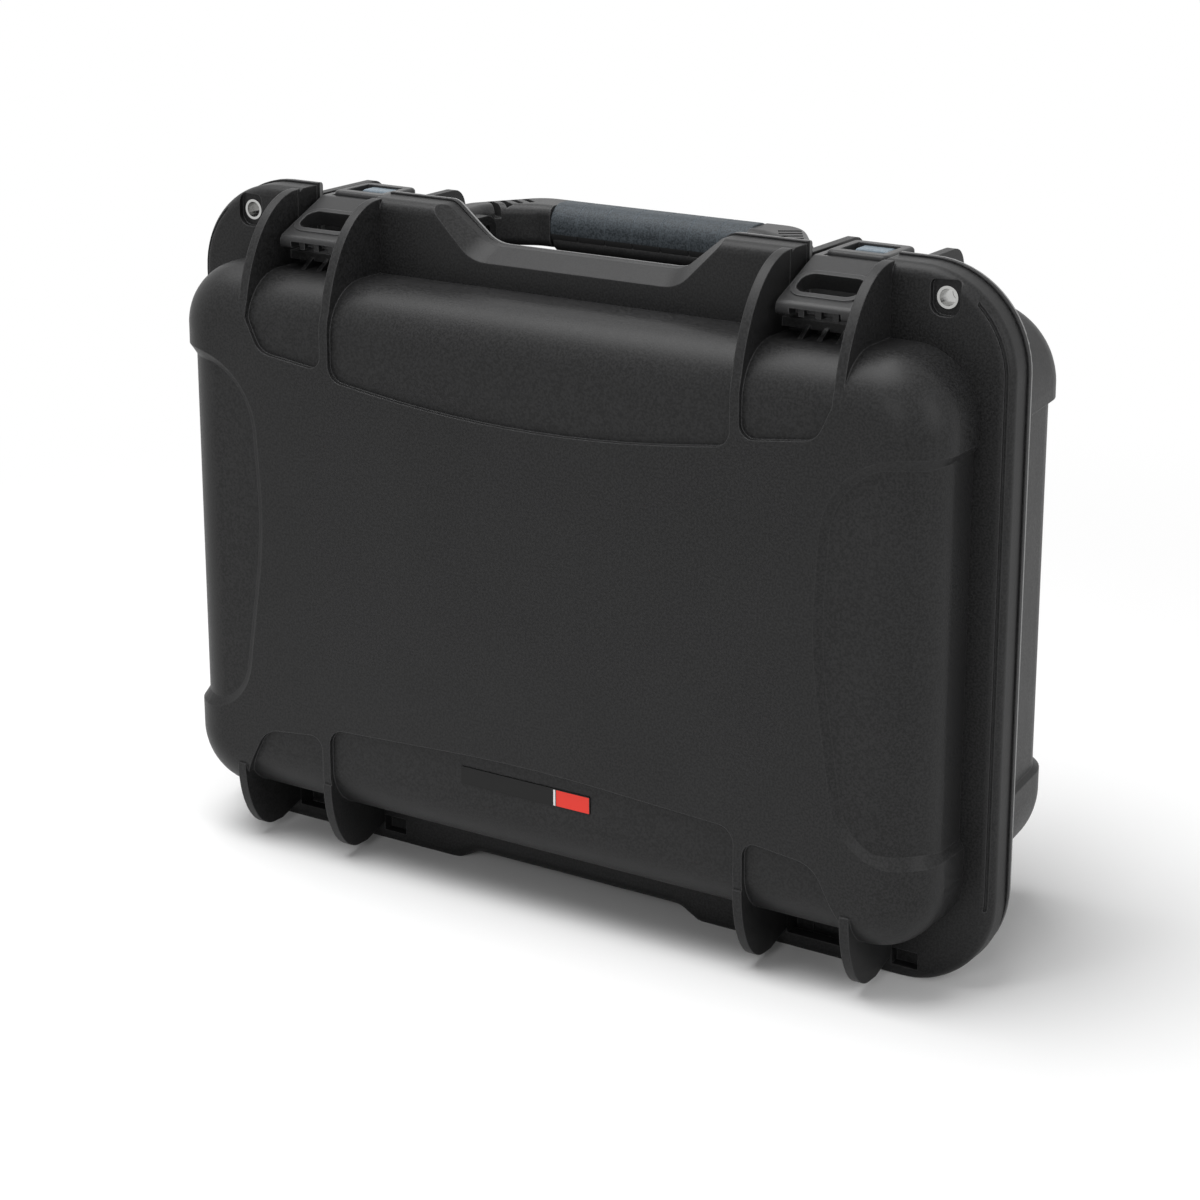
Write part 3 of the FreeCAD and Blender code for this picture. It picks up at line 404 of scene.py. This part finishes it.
def printed(name, colour, rough):
    """Smooth printed face with a faint orange-peel gloss."""
    made = Finish(name)
    peel = made.noise(PEEL_SIZE)
    haze = made.noise(HAZE_SIZE, detail=4.0)
    made.surface(base_color=made.mix(haze, scaled(colour, HAZE_DARKER), colour),
                 specular_ior_level=PRINT_SHINE, roughness=rough + (haze - NOISE_MIDDLE) * HAZE_ROUGHNESS)
    made.bump(peel, PEEL_HEIGHT, PEEL_STRENGTH)
    return made.material


def dress(names, material):
    """Gives CAD nodes one finish."""
    for name in names:
        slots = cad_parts[name].data.materials
        slots.clear()
        slots.append(material)


def both(name):
    """The left and the right node of a pair."""
    return [name + "_" + side for side in SIDES]


class HARDCASE_OT_shells(bpy.types.Operator):
    """Textured charcoal plastic for the lid and the base, with a painted highlight on the lip at the back
    of the base's rim
    """

    bl_idname = "hardcase.shells"
    bl_label = "Finish the shells"

    def execute(self, context):
        looks = context.scene.hard_case_finish
        shell = moulded("shell_plastic", looks.shell_colour, looks, rough=SHELL_ROUGHNESS)
        dress(["lid_shell", "lid_rim", "base_shell"], shell)
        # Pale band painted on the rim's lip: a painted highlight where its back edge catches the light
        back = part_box("base_rim")[1][1]
        lip_end = back - LIP_SETBACK
        lip = ("Y", lip_end - looks.lip_highlight_width, lip_end, LIP_FADE)
        rim = moulded("rim_plastic", looks.shell_colour, looks, rough=SHELL_ROUGHNESS,
                      band=lip, band_colour=looks.lip_highlight_colour)
        dress(["base_rim"], rim)
        return {"FINISHED"}


class HARDCASE_OT_latches(bpy.types.Operator):
    """Smoother black plastic for the latches and their slides, paler plastic for the buttons"""

    bl_idname = "hardcase.latches"
    bl_label = "Finish the latches"

    def execute(self, context):
        looks = context.scene.hard_case_finish
        lever = moulded("latch_plastic", looks.latch_colour, looks, rough=0.34,
                        grain_share=0.7, height_share=0.3)
        button = moulded("button_plastic", looks.button_colour, looks, rough=0.34,
                         grain_share=0.8, height_share=0.4)
        dress(both("latch_lever") + both("lock_slide"), lever)
        dress(both("lock_button"), button)
        return {"FINISHED"}


def dark_bar(low, high, drop, material):
    """Dark bar that shows below the grip: a flattened bar whose top lies at the grip's middle."""
    middle = (Vector(low) + Vector(high)) / 2
    size = Vector(high) - Vector(low)
    tall = size.z / 2 + drop
    bpy.ops.object.select_all(action="DESELECT")
    bpy.ops.mesh.primitive_cylinder_add(vertices=DARK_BAR_SIDES, radius=0.5, depth=1)
    piece = bpy.context.object
    piece.name = "grip_keel"
    bpy.ops.object.mode_set(mode="EDIT")
    bpy.ops.mesh.select_all(action="SELECT")
    bpy.ops.transform.rotate(value=math.pi / 2, orient_axis="Y", center_override=(0, 0, 0))
    bpy.ops.transform.resize(value=(size.x * DARK_BAR_LENGTH_SHARE, size.y * DARK_BAR_WIDTH_SHARE, tall),
                             center_override=(0, 0, 0))
    bpy.ops.transform.translate(value=(middle.x, middle.y, low[2] - drop + tall / 2))
    bpy.ops.mesh.normals_make_consistent(inside=False)
    bpy.ops.object.mode_set(mode="OBJECT")
    soften = piece.modifiers.new("soften", "BEVEL")
    soften.width = DARK_BAR_EDGE
    soften.segments = DARK_BAR_EDGE_STEPS
    soften.angle_limit = DARK_BAR_EDGE_ANGLE
    bpy.ops.object.modifier_apply(modifier=soften.name)
    bpy.ops.object.shade_smooth_by_angle(angle=DARK_BAR_SMOOTH_ANGLE)
    piece.data.materials.append(material)
    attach(piece, "handle")


class HARDCASE_OT_handle(bpy.types.Operator):
    """Black plastic arms, a soft blue grey grip with a dark lower band, and a dark bar below it"""

    bl_idname = "hardcase.handle"
    bl_label = "Finish the handle"

    def execute(self, context):
        looks = context.scene.hard_case_finish
        arms = moulded("handle_plastic", looks.latch_colour, looks, rough=0.4,
                       grain_share=0.9, height_share=0.6)
        dress(["handle_frame"], arms)
        low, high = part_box("handle_grip")
        pad_end = high[2] - looks.pad_share * (high[2] - low[2])
        # Dark lower band on the grip, from below its bottom up to the pad's end
        under = ("Z", low[2] - looks.dark_bar_drop, pad_end, PAD_FADE)
        grip = moulded("grip_rubber", looks.grip_colour, looks, rough=0.55,
                       grain_share=0.8, height_share=1.2, band=under, band_colour=looks.latch_colour)
        dress(["handle_grip"], grip)
        dark_bar(low, high, looks.dark_bar_drop, arms)
        return {"FINISHED"}


class HARDCASE_OT_steel(bpy.types.Operator):
    """Polished eyelets and plain pins"""

    bl_idname = "hardcase.steel"
    bl_label = "Finish the steel"

    def execute(self, context):
        looks = context.scene.hard_case_finish
        eyelet = brushed("eyelet_steel", looks.steel_colour, rough=0.18)
        pin = brushed("pin_steel", scaled(looks.steel_colour, PIN_DARKER), rough=0.3)
        dress(both("lid_eyelet") + both("base_eyelet"), eyelet)
        dress(both("hinge_pin") + both("handle_pin") + both("latch_pin"), pin)
        return {"FINISHED"}


class HARDCASE_OT_seals(bpy.types.Operator):
    """Soft rubber of the rim seal and the valve's washer, and the valve's pieces"""

    bl_idname = "hardcase.seals"
    bl_label = "Finish the seal and the valve"

    def execute(self, context):
        looks = context.scene.hard_case_finish
        rubber = moulded("seal_rubber", looks.rubber_colour, looks, rough=0.7, grain_share=1.5)
        valve = moulded("valve_plastic", looks.latch_colour, looks, rough=0.4,
                        grain_share=0.8, height_share=0.5)
        film = moulded("valve_film", looks.film_colour, looks, rough=0.8, grain_share=0.6)
        dress(["lid_seal", "valve_washer"], rubber)
        dress(["valve_body", "valve_cap", "valve_nut"], valve)
        dress(["valve_membrane"], film)
        return {"FINISHED"}


class HARDCASE_OT_plate(bpy.types.Operator):
    """Bare plate with its pale line and plain field"""

    bl_idname = "hardcase.plate"
    bl_label = "Finish the plate"

    def execute(self, context):
        looks = context.scene.hard_case_finish
        dress(["name_plate"], printed("plate_black", looks.plate_colour, rough=0.3))
        dress(["plate_line"], printed("plate_white", looks.line_colour, rough=0.35))
        dress(["plate_field"], printed("plate_red", looks.field_colour, rough=0.35))
        return {"FINISHED"}


def sees_white(tree):
    """One for a ray that shows the background: straight to the camera, off metal or through glass."""
    camera, glossy, through = (tree.node("ShaderNodeLightPath", output=ray) for ray in WHITE_RAYS)
    return camera + glossy + through


def white_room(strength):
    """Even room light that the camera and reflections see as plain white."""
    world = bpy.data.worlds.new("room")
    world.use_nodes = True
    tree = Tree(world.node_tree)
    room = tree.node("ShaderNodeBackground", {}, {"Color": WHITE, "Strength": strength})
    seen = tree.node("ShaderNodeBackground", {}, {"Color": WHITE, "Strength": WHITE_STRENGTH})
    blend = tree.node("ShaderNodeMixShader", {}, {0: sees_white(tree), 1: room, 2: seen})
    tree.set(tree.nodes["World Output"].inputs["Surface"], blend)
    return world


def paper(stage):
    """Pale paper that keeps the shadow near the case and runs out to the white of the background."""
    made = Finish("floor_paper")
    fibre = made.noise(FIBRE_SIZE, detail=3.0)
    made.surface(base_color=made.mix(fibre, scaled(stage.floor_colour, FIBRE_DARKER), stage.floor_colour),
                 roughness=PAPER_ROUGHNESS, specular_ior_level=0.0)
    away = made.node("ShaderNodeVectorMath", {"operation": "LENGTH"}, {0: made.place}, output="Value")
    far = made.node("ShaderNodeMapRange", {"interpolation_type": "SMOOTHSTEP"},
                    {"Value": away, "From Min": stage.shadow_reach * SHADOW_START_SHARE,
                     "From Max": stage.shadow_reach})
    white = made.node("ShaderNodeEmission", {}, {"Color": WHITE, "Strength": WHITE_STRENGTH})
    lit = Wire(made, made.shader.outputs["BSDF"])
    blend = made.node("ShaderNodeMixShader", {}, {0: far * sees_white(made), 1: lit, 2: white})
    made.set(made.nodes["Material Output"].inputs["Surface"], blend)
    return made.material


def soft_box(lamp, power):
    """Large area light that points at the case."""
    data = bpy.data.lights.new(lamp.name, "AREA")
    data.shape = "RECTANGLE"
    data.size, data.size_y = lamp.size
    data.energy = power
    box = bpy.data.objects.new(lamp.name, data)
    box.location = lamp.place
    box.rotation_euler = (Vector(lamp.aim) - Vector(lamp.place)).to_track_quat("-Z", "Y").to_euler()
    bpy.context.scene.collection.objects.link(box)


def shift_camera(stage):
    """Camera turned left and dipped, with its lens shifted."""
    data = bpy.data.cameras.new("camera")
    data.sensor_width = SENSOR_WIDTH
    data.lens = stage.focal
    data.shift_y = stage.camera_shift
    camera = bpy.data.objects.new("camera", data)
    turn, dip = stage.camera_turn, stage.camera_dip
    ahead = Vector((-math.sin(turn) * math.cos(dip), math.cos(turn) * math.cos(dip), -math.sin(dip)))
    camera.location = stage.camera_place
    camera.rotation_euler = ahead.to_track_quat("-Z", "Y").to_euler()
    bpy.context.scene.collection.objects.link(camera)
    return camera


class HARDCASE_OT_stage(bpy.types.Operator):
    """Pale floor, soft boxes, room light and the camera"""

    bl_idname = "hardcase.stage"
    bl_label = "Set the stage"

    def execute(self, context):
        stage = context.scene.hard_case_stage
        bpy.ops.object.select_all(action="DESELECT")
        bpy.ops.mesh.primitive_plane_add(size=stage.floor_size)
        floor = context.object
        floor.name = "floor"
        floor.data.materials.append(paper(stage))
        for lamp in LAMPS:
            soft_box(lamp, getattr(stage, lamp.power))
        context.scene.world = white_room(stage.room_strength)
        context.scene.camera = shift_camera(stage)
        context.scene.view_settings.view_transform = "Standard"
        return {"FINISHED"}


STEPS = (HARDCASE_OT_stage, HARDCASE_OT_shells, HARDCASE_OT_latches, HARDCASE_OT_handle, HARDCASE_OT_steel,
         HARDCASE_OT_seals, HARDCASE_OT_plate)


class HARDCASE_PT_panel(bpy.types.Panel):
    """Buttons for the steps of the case, and its settings"""

    bl_idname = "HARDCASE_PT_panel"
    bl_label = "Hard case"
    bl_space_type = "VIEW_3D"
    bl_region_type = "UI"
    bl_category = "Hard case"

    def draw(self, context):
        for step in STEPS:
            self.layout.operator(step.bl_idname)
        for group in (context.scene.hard_case_finish, context.scene.hard_case_stage):
            box = self.layout.box()
            for name in group.__annotations__:
                box.prop(group, name)


CLASSES = (HardCaseFinish, HardCaseStage) + STEPS + (HARDCASE_PT_panel,)


def register():
    for made in CLASSES:
        bpy.utils.register_class(made)
    bpy.types.Scene.hard_case_finish = bpy.props.PointerProperty(type=HardCaseFinish)
    bpy.types.Scene.hard_case_stage = bpy.props.PointerProperty(type=HardCaseStage)


def unregister():
    del bpy.types.Scene.hard_case_stage
    del bpy.types.Scene.hard_case_finish
    for made in reversed(CLASSES):
        bpy.utils.unregister_class(made)


def main():
    register()
    bpy.ops.hardcase.stage()
    bpy.ops.hardcase.shells()
    bpy.ops.hardcase.latches()
    bpy.ops.hardcase.handle()
    bpy.ops.hardcase.steel()
    bpy.ops.hardcase.seals()
    bpy.ops.hardcase.plate()


if __name__ == "__main__":
    main()
